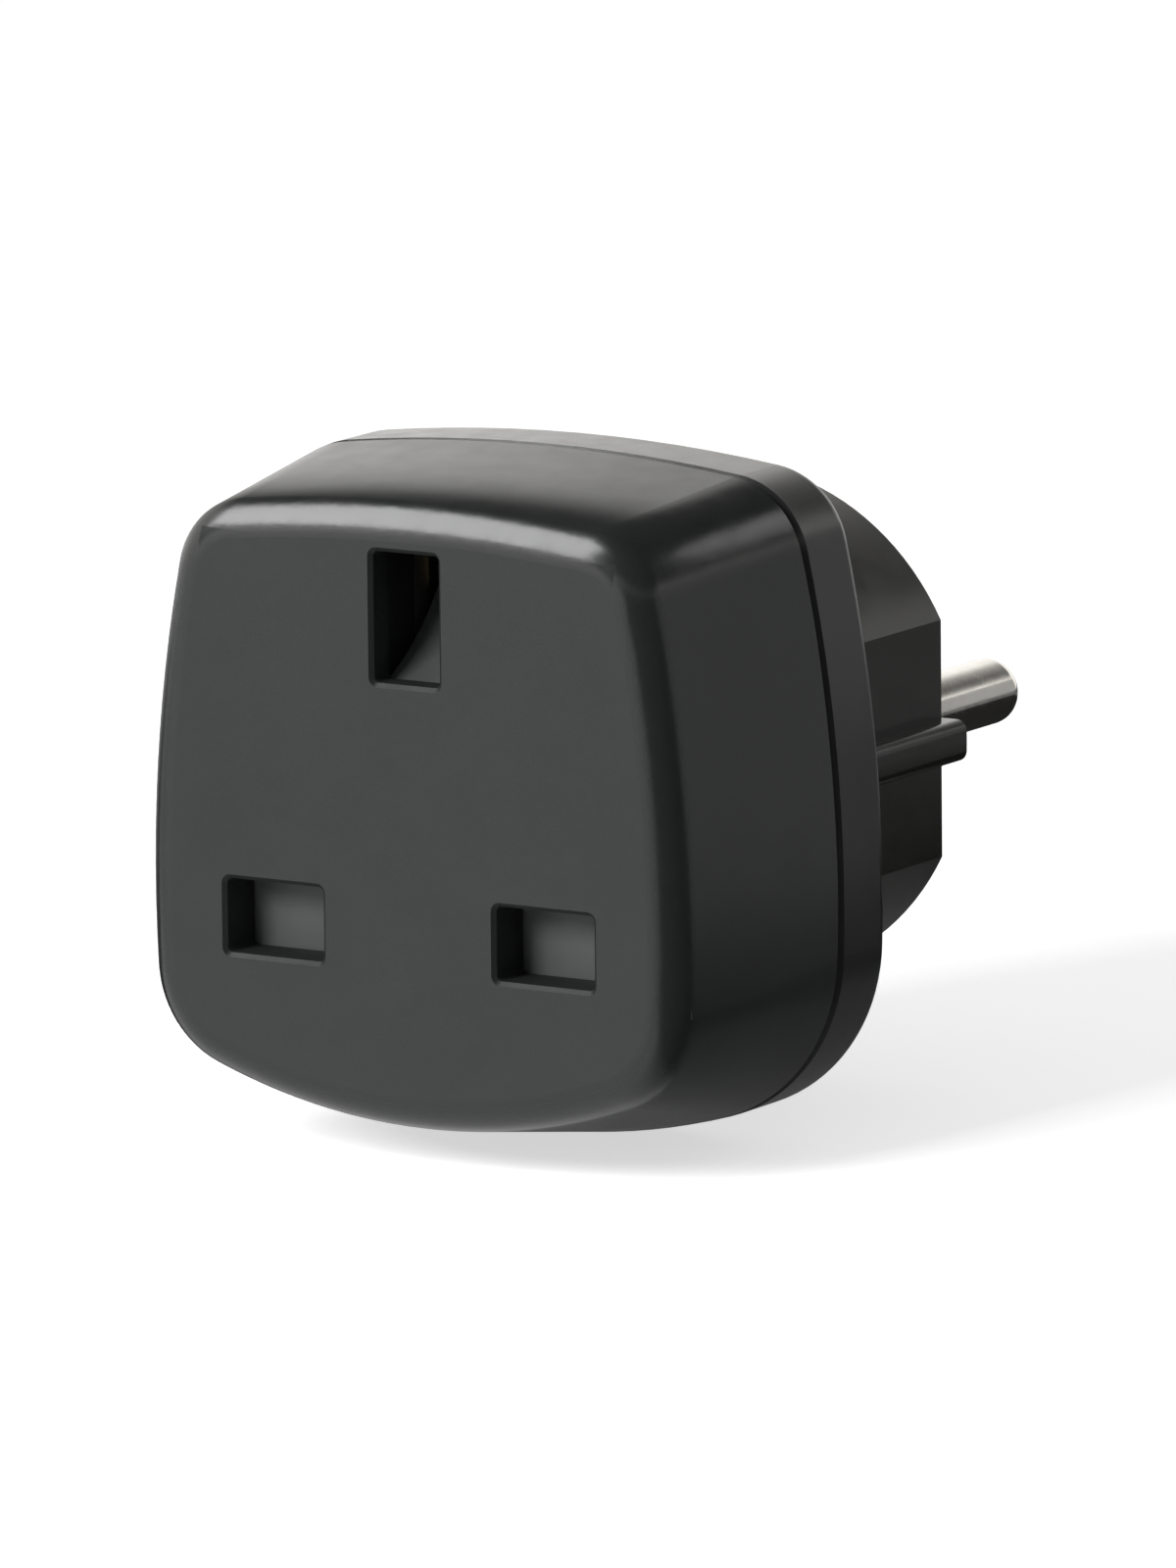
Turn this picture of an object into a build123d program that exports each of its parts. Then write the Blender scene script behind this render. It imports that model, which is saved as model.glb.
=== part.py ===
import os
from math import radians, tan

from build123d import *

os.makedirs("parts", exist_ok=True)

# Travel adapter: a British three-pin socket in front and a continental two-pin plug behind.
# X runs to the right as the socket face is seen, Z is up, and Y runs from socket to pins.
# The origin is on the plug's axis, on its engagement face. A depth, below, is counted from
# that face towards the socket face, so a depth of 10 lies at Y = -10. Sizes are millimetres.

# Housing, front to back
plug_length = 21.4
flange_thickness = 6.5
cover_depth = 18.0
cover_wall = 2.0
cover_draft = 8.3
face_wall = 2.2
face_edge_radius = 2.6
flange_floor = 2.0
flange_edge_radius = 1.2
seam_groove = 0.4

# Housing outline at the seam: four shallow arcs with rounded corners
half_width = 24.4
widest_height = -6.9
side_arc_radius = 113.0
top_middle = 23.9
top_arc_radius = 130.0
bottom_middle = -25.1
bottom_arc_radius = 50.7
top_corner_radius = 6.4
bottom_corner_radius = 13.3

# Outline at the face: drawn in by the draft, with its own corners, and a little higher
face_top_corner_radius = 5.6
face_bottom_corner_radius = 6.9
face_rise = 0.55

# British socket: slots in the face
slot_spacing = 22.23
slot_line = -8.15
earth_offset = 22.23
slot_width = 8.0
slot_height = 5.3
earth_slot_width = 5.4
earth_slot_height = 9.3
slot_corner_radius = 0.4
slot_bevel = 0.3
collar_wall = 0.9
collar_length = 1.5

# British plug that the socket takes
blade_width = 6.35
blade_thickness = 3.97
earth_blade_width = 7.92
earth_well_height = 6.9
earth_well_depth = 2.4

# Continental plug
plug_radius = 18.5
plug_flat_depth = 2.1
plug_rib_width = 3.0
plug_rib_edge_radius = 0.8
plug_wall = 1.9
plug_end_wall = 3.0
plug_end_chamfer = 0.6
pin_spacing = 19.0
pin_radius = 2.4
pin_length = 19.0
pin_fit = 0.05
pin_tip_radius = 1.6
pin_root_radius = 2.6
pin_collar_radius = 3.4
pin_collar_thickness = 1.5
pin_shank_radius = 2.0
pin_tail_radius = 1.3
rivet_head_radius = 1.9
rivet_head_thickness = 0.6
female_earth_inset = 8.5
female_earth_bore = 2.45
female_earth_wall = 0.45
female_earth_mouth_gap = 0.25
female_earth_recess = 1.0
female_earth_length = 15.4
female_earth_depth = 14.4
female_earth_slit = 0.6
female_earth_slit_rest = 2.0
female_earth_collar_radius = 4.0

# Side earth clips of the continental plug, in channels above and below
channel_width = 7.0
channel_depth = 2.5
channel_length = 19.0
channel_wall = 2.0
clip_window_length = 11.6
clip_window_start = 5.0
clip_window_gap = 0.3
strap_width = 5.0
strap_thickness = 0.8
strap_bend_radius = 0.6
strap_gap = 0.1
clip_lead = 0.5
clip_rise = 2.3
clip_flat_length = 6.0
clip_slope_length = 1.8
strap_leg_end = 18.6

# Screws and their bosses, set in from the outline's widest, bottom and top points
screw_low_inset = (6.25, 11.6)
screw_high_inset = (8.15, 9.4)
boss_radius = 2.1
screw_radius = 1.05
screw_length = 9.0
screw_head_radius = 1.85
screw_head_thickness = 1.3
screw_head_depth = 1.6
screw_slot_length = 2.2
screw_slot_width = 0.5
screw_slot_depth = 0.7
screw_clearance = 0.1
pilot_beyond_screw = 1.0
thread_clearance = 0.03

# Pin retainer inside the plug body
retainer_thickness = 3.0
retainer_screw = (7.4, -8.6)
retainer_screw_length = 6.0
retainer_pilot_beyond_screw = 0.3
retainer_boss_radius = 2.3

# Shutter and its spring
shutter_travel = 5.5
shutter_front = 4.0
shutter_thickness = 2.2
shutter_overlap = 0.4
stem_front = 2.6
stem_half_width = 3.0
stem_foot_half_width = 3.8
stem_foot_top = 1.0
stem_foot_overlap = 1.0
ramp_bottom_depth = 9.2
ramp_top_height = 14.9
ramp_first_angle = 26.0
ramp_slot_gap = 0.1
head_bottom = 4.0
head_lip_height = 3.4
head_slope_rise = 2.5
guide_wall = 1.2
shutter_clearance = 0.35
spring_pocket_half_width = 2.0
spring_pocket_top = -2.0
spring_coil_radius = 1.4
spring_wire_radius = 0.2
spring_turns = 6
spring_seat_thickness = 1.2
spring_seat_half_width = 3.0

# Inner frame that holds the contacts
frame_plate_front = 6.6
frame_plate_thickness = 2.0
frame_edge_gap = 0.4
frame_window_inset = 0.3
stem_passage_gap = 0.4
frame_wall = 0.8
rim_height = 2.0
rim_wall = 1.2
rim_gap = 0.4

# Contacts, folded from brass sheet
contact_sheet = 0.6
contact_bend = 0.8
contact_leaf_bend = 2.4
contact_squeeze = 0.135
contact_mouth = 2.85
contact_waist = 2.65
contact_mouth_depth = 9.7
contact_grip_depth = 13.0
contact_waist_depth = 17.0
contact_end_depth = 19.0
contact_side_gap = 0.35
contact_web_gap = 0.1
pocket_side_gap = 0.15
earth_leaf_inset = 0.5
earth_tail_start = 1.0
earth_tail_end = 2.0
earth_tail_gap = 2.0
tail_wall_gap = 1.4
tab_gap = 0.9
tab_overhang = 2.6
piece_gap = 0.3

# Places worked out from the sizes above
flange_depth = plug_length
floor_depth = flange_depth + flange_floor
seam_depth = flange_depth + flange_thickness
face_depth = seam_depth + cover_depth
cover_inside = face_depth - face_wall
plate_depth = face_depth - frame_plate_front
earth_line = slot_line + earth_offset
face_inset = cover_depth * tan(radians(cover_draft))


def toward_face(depth):
    """How far a depth lies from the seam to the face, from 0 to 1."""
    return max(depth - seam_depth, 0) / cover_depth


def bottom_at(depth):
    """Height of the outline's lowest point at a depth."""
    along = toward_face(depth)
    return bottom_middle + along * (face_rise + face_inset)


slot_places = [(-slot_spacing / 2, slot_line), (slot_spacing / 2, slot_line)]
pin_places = [(-pin_spacing / 2, 0), (pin_spacing / 2, 0)]
screw_low = (half_width - screw_low_inset[0], bottom_middle + screw_low_inset[1])
screw_high = (half_width - screw_high_inset[0], top_middle - screw_high_inset[1])
screw_places = [
    (-screw_low[0], screw_low[1]),
    screw_low,
    (-screw_high[0], screw_high[1]),
    screw_high,
]
retainer_screw_places = [(-retainer_screw[0], retainer_screw[1]), retainer_screw]
plug_flat = plug_radius - plug_flat_depth
channel_floor = plug_radius - channel_depth
channel_inside = channel_floor - channel_wall
strap_leg = channel_inside - strap_gap - strap_thickness / 2
female_earth_offset = plug_radius - female_earth_inset
female_earth_radius = female_earth_bore + female_earth_wall
retainer_back = plug_end_wall + pin_collar_thickness
retainer_front = retainer_back + retainer_thickness
retainer_pilot_depth = retainer_screw_length - retainer_thickness + retainer_pilot_beyond_screw
tab_depth = retainer_front + tab_gap
contact_width = blade_width - contact_side_gap
contact_grip = blade_thickness / 2 - contact_squeeze
tail_inner = slot_spacing / 2 - contact_width / 2
tail_outer = min(tail_inner + contact_width, plug_flat - plug_wall - tail_wall_gap)
tail_width = tail_outer - tail_inner

pilot_depth = screw_length + screw_head_depth - flange_thickness + pilot_beyond_screw
guide_middle = stem_half_width + shutter_clearance + guide_wall / 2
guide_bottom = stem_foot_top + shutter_clearance
guide_top = earth_line + earth_slot_height / 2 + guide_wall
seat_bottom = bottom_at(cover_inside) + cover_wall / 2
seat_top = seat_bottom + cover_wall / 2 + spring_seat_thickness

# Side view: depth to the right, height up. Plan view: depth to the right, X up.
side_view = Plane((0, 0, 0), x_dir=(0, -1, 0), z_dir=(-1, 0, 0))
plan_view = Plane((0, 0, 0), x_dir=(0, -1, 0), z_dir=(0, 0, 1))


def at_depth(depth):
    """The upright plane at a depth, facing the socket side."""
    return Plane.XZ.offset(depth)


def housing_outline(depth, inset=0.0, mode=Mode.ADD):
    """The outline at a depth, where four large discs overlap, drawn inset all round."""
    along = toward_face(depth)
    drawn_in = inset + along * face_inset
    rise = along * face_rise
    top_corner = top_corner_radius + along * (face_top_corner_radius - top_corner_radius)
    bottom_corner = bottom_corner_radius + along * (face_bottom_corner_radius - bottom_corner_radius)
    with BuildSketch() as outline:
        with Locations((0, top_middle - top_arc_radius + rise)):
            Circle(top_arc_radius - drawn_in)
        with Locations((0, bottom_middle + bottom_arc_radius + rise)):
            Circle(bottom_arc_radius - drawn_in, mode=Mode.INTERSECT)
        for side in (-1, 1):
            with Locations((side * (half_width - side_arc_radius), widest_height + rise)):
                Circle(side_arc_radius - drawn_in, mode=Mode.INTERSECT)
        fillet(vertices().sort_by(Axis.Y)[-2:], top_corner - inset)
        fillet(vertices().sort_by(Axis.Y)[:2], bottom_corner - inset)
    add(outline.sketch, mode=mode)


def plug_section(inset=0.0):
    """The plug body's round section with a flat on each side."""
    Circle(plug_radius - inset)
    Rectangle(2 * (plug_flat - inset), 2 * plug_radius, mode=Mode.INTERSECT)


def save(piece, name):
    """Label a finished piece and write it under the same name."""
    piece.part.label = name
    export_step(piece.part, f"parts/{name}.step")


# Front cover: drafted shell with the socket face, slot collars, guides and screw bosses
with BuildPart() as front_cover:
    with BuildSketch(at_depth(seam_depth)):
        housing_outline(seam_depth)
    with BuildSketch(at_depth(face_depth)):
        housing_outline(face_depth)
    loft(ruled=True)
    fillet(faces().sort_by(Axis.Y)[0].edges(), face_edge_radius)
    chamfer(faces().sort_by(Axis.Y)[-1].edges(), seam_groove)
    with BuildSketch(at_depth(seam_depth)):
        housing_outline(seam_depth, cover_wall)
    with BuildSketch(at_depth(cover_inside)):
        housing_outline(cover_inside, cover_wall)
    loft(ruled=True, mode=Mode.SUBTRACT)
    with BuildSketch(at_depth(seam_depth)):
        with Locations(*screw_places):
            Circle(boss_radius)
    extrude(amount=cover_depth - face_wall)
    with BuildSketch(at_depth(seam_depth)):
        with Locations(*screw_places):
            Circle(screw_radius + thread_clearance)
    extrude(amount=pilot_depth, mode=Mode.SUBTRACT)
    with BuildSketch(at_depth(cover_inside)):
        with Locations(*slot_places):
            Rectangle(slot_width + 2 * collar_wall, slot_height + 2 * collar_wall)
    extrude(amount=-collar_length)
    with BuildSketch(at_depth(cover_inside)):
        with Locations((-guide_middle, guide_bottom), (guide_middle, guide_bottom)):
            Rectangle(guide_wall, guide_top - guide_bottom, align=(Align.CENTER, Align.MIN))
    extrude(amount=-(frame_plate_front - face_wall))
    with BuildSketch(at_depth(cover_inside)):
        with Locations((0, seat_bottom)):
            Rectangle(
                2 * spring_seat_half_width,
                seat_top - seat_bottom,
                align=(Align.CENTER, Align.MIN),
            )
    extrude(amount=-(frame_plate_front - face_wall))
    with BuildSketch(at_depth(face_depth)):
        with Locations(*slot_places):
            RectangleRounded(slot_width, slot_height, slot_corner_radius)
        with Locations((0, earth_line)):
            RectangleRounded(earth_slot_width, earth_slot_height, slot_corner_radius)
    extrude(amount=-(face_wall + collar_length), mode=Mode.SUBTRACT)
    face_holes = faces().sort_by(Axis.Y)[0].inner_wires()
    chamfer(face_holes.edges(), slot_bevel)
save(front_cover, "front_cover")

# Rear housing: flange and plug body in one moulding
with BuildPart() as rear_housing:
    with BuildSketch(at_depth(flange_depth)):
        housing_outline(flange_depth)
    extrude(amount=flange_thickness)
    fillet(faces().sort_by(Axis.Y)[-1].edges(), flange_edge_radius)
    chamfer(faces().sort_by(Axis.Y)[0].edges(), seam_groove)
    with BuildSketch(at_depth(0)):
        plug_section()
    extrude(amount=flange_depth)
    with BuildSketch(at_depth(0)):
        Circle(plug_radius)
        Rectangle(2 * plug_radius, plug_rib_width, mode=Mode.INTERSECT)
        fillet(vertices(), plug_rib_edge_radius)
    extrude(amount=flange_depth)
    chamfer(faces().sort_by(Axis.Y)[-1].outer_wire().edges(), plug_end_chamfer)
    with BuildSketch(at_depth(floor_depth)):
        housing_outline(floor_depth, cover_wall)
    extrude(amount=flange_thickness - flange_floor, mode=Mode.SUBTRACT)
    with BuildSketch(at_depth(plug_end_wall)):
        plug_section(plug_wall)
        Rectangle(2 * plug_radius, 2 * channel_inside, mode=Mode.INTERSECT)
    extrude(amount=floor_depth - plug_end_wall, mode=Mode.SUBTRACT)
    # Well in the flange for the tip of the British earth pin
    with BuildSketch(at_depth(floor_depth)):
        with Locations((0, earth_line - earth_blade_width / 2)):
            Rectangle(earth_slot_width, earth_well_height, align=(Align.CENTER, Align.MIN))
    extrude(amount=-earth_well_depth, mode=Mode.SUBTRACT)
    # Channels above and below, with the windows that the earth clips rise through
    with BuildSketch(at_depth(0)):
        Rectangle(channel_width, 3 * plug_radius)
        Rectangle(channel_width, 2 * channel_floor, mode=Mode.SUBTRACT)
    extrude(amount=channel_length, mode=Mode.SUBTRACT)
    with BuildSketch(at_depth(clip_window_start)):
        with Locations((0, channel_floor - channel_wall / 2), (0, channel_wall / 2 - channel_floor)):
            Rectangle(strap_width + 2 * clip_window_gap, 2 * channel_wall)
    extrude(amount=clip_window_length, mode=Mode.SUBTRACT)
    # Rim that the cover closes over, and screw posts
    with BuildSketch(at_depth(floor_depth)):
        housing_outline(floor_depth, cover_wall + rim_gap)
        housing_outline(floor_depth, cover_wall + rim_gap + rim_wall, mode=Mode.SUBTRACT)
        with Locations(*screw_places):
            Circle(boss_radius + rim_gap, mode=Mode.SUBTRACT)
    extrude(amount=flange_thickness - flange_floor + rim_height)
    with BuildSketch(at_depth(floor_depth)):
        with Locations(*screw_places):
            Circle(boss_radius)
    extrude(amount=flange_thickness - flange_floor)
    with BuildSketch(at_depth(flange_depth)):
        with Locations(*screw_places):
            Circle(screw_radius + screw_clearance)
    extrude(amount=flange_thickness, mode=Mode.SUBTRACT)
    with BuildSketch(at_depth(flange_depth)):
        with Locations(*screw_places):
            Circle(screw_head_radius + screw_clearance)
    extrude(amount=screw_head_depth, mode=Mode.SUBTRACT)
    # End wall: holes for the pins and the female earth contact, bosses for the retainer screws
    with BuildSketch(at_depth(0)):
        with Locations(*pin_places):
            Circle(pin_root_radius + pin_fit)
        with Locations((0, female_earth_offset)):
            Circle(female_earth_bore + female_earth_mouth_gap)
    extrude(amount=plug_end_wall, mode=Mode.SUBTRACT)
    with BuildSketch(at_depth(plug_end_wall)):
        with Locations(*pin_places):
            Circle(pin_collar_radius + pin_fit)
    extrude(amount=pin_collar_thickness, mode=Mode.SUBTRACT)
    with BuildSketch(at_depth(female_earth_recess)):
        with Locations((0, female_earth_offset)):
            Circle(female_earth_radius + pin_fit)
    extrude(amount=plug_end_wall - female_earth_recess, mode=Mode.SUBTRACT)
    with BuildSketch(at_depth(plug_end_wall)):
        with Locations(*retainer_screw_places):
            Circle(retainer_boss_radius)
    extrude(amount=pin_collar_thickness)
    with BuildSketch(at_depth(retainer_back)):
        with Locations(*retainer_screw_places):
            Circle(screw_radius + thread_clearance)
    extrude(amount=-retainer_pilot_depth, mode=Mode.SUBTRACT)
save(rear_housing, "rear_housing")


# Plug pins: a round pin, its thicker root in the end wall, a collar behind it, a riveted tail
for name, place in zip(("line_pin", "neutral_pin"), pin_places):
    with BuildPart() as plug_pin:
        with BuildSketch(at_depth(-pin_length)):
            with Locations(place):
                Circle(pin_radius)
        extrude(amount=pin_length)
        fillet(faces().sort_by(Axis.Y)[-1].edges(), pin_tip_radius)
        with BuildSketch(at_depth(0)):
            with Locations(place):
                Circle(pin_root_radius)
        extrude(amount=plug_end_wall)
        with BuildSketch(at_depth(plug_end_wall)):
            with Locations(place):
                Circle(pin_collar_radius)
        extrude(amount=pin_collar_thickness)
        with BuildSketch(at_depth(retainer_back)):
            with Locations(place):
                Circle(pin_shank_radius)
        extrude(amount=tab_depth - contact_sheet / 2 - retainer_back)
        with BuildSketch(at_depth(tab_depth - contact_sheet / 2)):
            with Locations(place):
                Circle(pin_tail_radius)
        extrude(amount=contact_sheet)
        with BuildSketch(at_depth(tab_depth + contact_sheet / 2)):
            with Locations(place):
                Circle(rivet_head_radius)
        extrude(amount=rivet_head_thickness)
        fillet(faces().sort_by(Axis.Y)[0].edges(), rivet_head_thickness / 2)
    save(plug_pin, name)

# Female contact for a fixed earth pin: slit tube with a collar and a riveted tail
female_earth_back = female_earth_recess + female_earth_length
female_earth_slit_length = female_earth_back - female_earth_slit_rest - retainer_front
earth_tab_depth = female_earth_back + contact_sheet / 2
with BuildPart() as earth_tube:
    with BuildSketch(at_depth(female_earth_recess)):
        with Locations((0, female_earth_offset)):
            Circle(female_earth_radius)
    extrude(amount=female_earth_length)
    with BuildSketch(at_depth(plug_end_wall + strap_thickness)):
        with Locations((0, female_earth_offset)):
            Circle(female_earth_collar_radius)
            Rectangle(2 * plug_radius, 2 * female_earth_radius, mode=Mode.INTERSECT)
    extrude(amount=pin_collar_thickness - strap_thickness)
    with BuildSketch(at_depth(female_earth_recess)):
        with Locations((0, female_earth_offset)):
            Circle(female_earth_bore)
    extrude(amount=female_earth_depth, mode=Mode.SUBTRACT)
    with BuildSketch(at_depth(retainer_front)):
        with Locations((0, female_earth_offset)):
            Rectangle(2 * female_earth_collar_radius, female_earth_slit)
    extrude(amount=female_earth_slit_length, mode=Mode.SUBTRACT)
    with BuildSketch(at_depth(female_earth_back)):
        with Locations((0, female_earth_offset)):
            Circle(pin_tail_radius)
    extrude(amount=contact_sheet)
    with BuildSketch(at_depth(female_earth_back + contact_sheet)):
        with Locations((0, female_earth_offset)):
            Circle(rivet_head_radius)
    extrude(amount=rivet_head_thickness)
    fillet(faces().sort_by(Axis.Y)[0].edges(), rivet_head_thickness / 2)
save(earth_tube, "earth_pin_socket")

# Earth strap: one bent strip, its two legs rising through the windows as side clips
clip_start = clip_window_start + clip_lead + strap_thickness
clip_end = clip_start + 2 * clip_slope_length + clip_flat_length
half_route = [
    (strap_leg_end, strap_leg),
    (clip_end, strap_leg),
    (clip_end - clip_slope_length, strap_leg + clip_rise),
    (clip_start + clip_slope_length, strap_leg + clip_rise),
    (clip_start, strap_leg),
    (plug_end_wall + strap_thickness / 2, strap_leg),
]
with BuildPart() as earth_strap:
    with BuildSketch(side_view):
        with BuildLine():
            FilletPolyline(
                *half_route,
                *[(depth, -height) for depth, height in reversed(half_route)],
                radius=strap_bend_radius,
            )
        trace(line_width=strap_thickness)
    extrude(amount=strap_width / 2, both=True)
    with BuildSketch(at_depth(plug_end_wall)):
        with Locations((0, female_earth_offset)):
            Rectangle(2 * female_earth_collar_radius, 2 * female_earth_radius)
    extrude(amount=strap_thickness)
    with BuildSketch(at_depth(plug_end_wall)):
        with Locations((0, female_earth_offset)):
            Circle(female_earth_radius + pin_fit)
    extrude(amount=strap_thickness, mode=Mode.SUBTRACT)
save(earth_strap, "earth_strap")

# Pin retainer: plate screwed to the end wall, clamping the pin collars
with BuildPart() as pin_retainer:
    with BuildSketch(at_depth(retainer_back)):
        plug_section(plug_wall + piece_gap)
        Rectangle(
            2 * plug_radius,
            2 * (strap_leg - strap_thickness / 2 - piece_gap),
            mode=Mode.INTERSECT,
        )
        with Locations(*pin_places):
            Circle(pin_shank_radius + pin_fit, mode=Mode.SUBTRACT)
        with Locations((0, female_earth_offset)):
            Circle(female_earth_radius + pin_fit, mode=Mode.SUBTRACT)
        with Locations(*retainer_screw_places):
            Circle(screw_radius + screw_clearance, mode=Mode.SUBTRACT)
    extrude(amount=retainer_thickness)
    chamfer(faces().sort_by(Axis.Y)[0].outer_wire().edges(), seam_groove)
save(pin_retainer, "pin_retainer")


# Housing screws from behind the flange, and retainer screws inside the plug, all pan heads
# with a cross recess. Each row: name, place, depth of the head's seat, length, direction.
screws = []
for number, place in enumerate(screw_places, start=1):
    screws.append((f"housing_screw_{number}", place, flange_depth + screw_head_depth, screw_length, 1))
for number, place in enumerate(retainer_screw_places, start=1):
    screws.append((f"retainer_screw_{number}", place, retainer_front, retainer_screw_length, -1))
for name, place, seat_depth, length, along in screws:
    with BuildPart() as screw:
        with BuildSketch(at_depth(seat_depth)):
            with Locations(place):
                Circle(screw_radius)
        extrude(amount=along * length)
        with BuildSketch(at_depth(seat_depth)):
            with Locations(place):
                Circle(screw_head_radius)
        extrude(amount=-along * screw_head_thickness)
        head_top = faces().sort_by(Axis.Y)[-1 if along > 0 else 0]
        fillet(head_top.edges(), screw_head_thickness / 2)
        with BuildSketch(at_depth(seat_depth - along * screw_head_thickness)):
            with Locations(place):
                Rectangle(screw_slot_length, screw_slot_width)
                Rectangle(screw_slot_width, screw_slot_length)
        extrude(amount=along * screw_slot_depth, mode=Mode.SUBTRACT)
    save(screw, name)

# Line and neutral contacts: two sprung leaves, a side web and a tail riveted to the pin
mouth_depth = face_depth - contact_mouth_depth
grip_depth = face_depth - contact_grip_depth
waist_depth = face_depth - contact_waist_depth
end_depth = face_depth - contact_end_depth
half_sheet = contact_sheet / 2
for name, side in (("line_contact", -1), ("neutral_contact", 1)):
    web_middle = side * (slot_spacing / 2 + contact_width / 2 + half_sheet)
    tail_middle = side * (tail_inner + tail_width / 2)
    with BuildPart() as contact:
        with BuildSketch(side_view.offset(-side * slot_spacing / 2)):
            for turn in (-1, 1):
                with BuildLine():
                    FilletPolyline(
                        (mouth_depth, slot_line + turn * contact_mouth),
                        (grip_depth, slot_line + turn * (contact_grip + half_sheet)),
                        (waist_depth, slot_line + turn * contact_waist),
                        (end_depth, slot_line + turn * contact_waist),
                        radius=contact_leaf_bend,
                    )
                trace(line_width=contact_sheet)
        extrude(amount=contact_width / 2, both=True)
        with BuildSketch(side_view.offset(-web_middle)):
            with Locations(((waist_depth + end_depth) / 2, slot_line)):
                Rectangle(waist_depth - end_depth, 2 * contact_waist + contact_sheet)
        extrude(amount=half_sheet, both=True)
        with BuildSketch(side_view.offset(-tail_middle)):
            with BuildLine():
                FilletPolyline(
                    (end_depth, slot_line + contact_waist),
                    (tab_depth, slot_line + contact_waist),
                    (tab_depth, tab_overhang),
                    radius=contact_bend,
                )
            trace(line_width=contact_sheet)
        extrude(amount=tail_width / 2, both=True)
        with BuildSketch(at_depth(tab_depth - half_sheet)):
            with Locations((side * pin_spacing / 2, 0)):
                Circle(pin_tail_radius)
        extrude(amount=contact_sheet, mode=Mode.SUBTRACT)
    save(contact, name)

# Earth contact: upright leaves, a web below and a tail riveted to the female earth contact
earth_web = earth_line - earth_blade_width / 2 - contact_web_gap - half_sheet
earth_leaf_top = earth_line + earth_blade_width / 2 - earth_leaf_inset
tail_drop = female_earth_offset - female_earth_radius - earth_tail_gap
with BuildPart() as earth_contact:
    with BuildSketch(plan_view.offset(earth_web)):
        for turn in (-1, 1):
            with BuildLine():
                FilletPolyline(
                    (mouth_depth, turn * contact_mouth),
                    (grip_depth, turn * (contact_grip + half_sheet)),
                    (waist_depth, turn * contact_waist),
                    (end_depth, turn * contact_waist),
                    radius=contact_leaf_bend,
                )
            trace(line_width=contact_sheet)
    extrude(amount=earth_leaf_top - earth_web)
    with BuildSketch(side_view):
        with BuildLine():
            FilletPolyline(
                (waist_depth, earth_web),
                (end_depth - earth_tail_start, earth_web),
                (floor_depth - earth_tail_end, tail_drop),
                (earth_tab_depth, tail_drop),
                (earth_tab_depth, female_earth_offset + tab_overhang),
                radius=contact_bend,
            )
        trace(line_width=contact_sheet)
    extrude(amount=contact_waist + half_sheet, both=True)
    with BuildSketch(at_depth(female_earth_back)):
        with Locations((0, female_earth_offset)):
            Circle(pin_tail_radius)
    extrude(amount=contact_sheet, mode=Mode.SUBTRACT)
save(earth_contact, "earth_contact")

# Inner frame: plate with pin windows and a pocket round each contact, standing on the floor
plate_back = plate_depth - frame_plate_thickness
pocket_low = slot_spacing / 2 - contact_width / 2 - piece_gap
pocket_high = slot_spacing / 2 + contact_width / 2 + contact_sheet + pocket_side_gap
pocket_half_height = contact_mouth + contact_sheet + piece_gap
earth_pocket_half = contact_mouth + contact_sheet + piece_gap
earth_pocket_top = earth_line + earth_blade_width / 2 + piece_gap
with BuildPart() as inner_frame:
    with BuildSketch(at_depth(plate_back)):
        housing_outline(plate_depth, cover_wall + frame_edge_gap)
        with Locations(*slot_places):
            Rectangle(
                slot_width - 2 * frame_window_inset,
                slot_height - 2 * frame_window_inset,
                mode=Mode.SUBTRACT,
            )
        with Locations((0, head_bottom - shutter_travel)):
            Rectangle(
                2 * (stem_half_width + stem_passage_gap),
                earth_pocket_top - head_bottom + shutter_travel,
                align=(Align.CENTER, Align.MIN),
                mode=Mode.SUBTRACT,
            )
    extrude(amount=frame_plate_thickness)
    with BuildSketch(at_depth(floor_depth)):
        for side in (-1, 1):
            with Locations((side * (pocket_low + pocket_high) / 2, slot_line)):
                Rectangle(
                    pocket_high - pocket_low + 2 * frame_wall,
                    2 * (pocket_half_height + frame_wall),
                )
                Rectangle(
                    pocket_high - pocket_low,
                    2 * pocket_half_height,
                    mode=Mode.SUBTRACT,
                )
        with Locations((0, earth_web)):
            Rectangle(
                2 * (earth_pocket_half + frame_wall),
                earth_pocket_top + frame_wall - earth_web,
                align=(Align.CENTER, Align.MIN),
            )
            Rectangle(
                2 * earth_pocket_half,
                earth_pocket_top - earth_web,
                align=(Align.CENTER, Align.MIN),
                mode=Mode.SUBTRACT,
            )
    extrude(amount=plate_back - floor_depth)
    with BuildSketch(at_depth(floor_depth)):
        with Locations(*screw_places):
            Circle(boss_radius + piece_gap)
    extrude(amount=plate_depth - floor_depth, mode=Mode.SUBTRACT)
save(inner_frame, "inner_frame")

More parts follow.
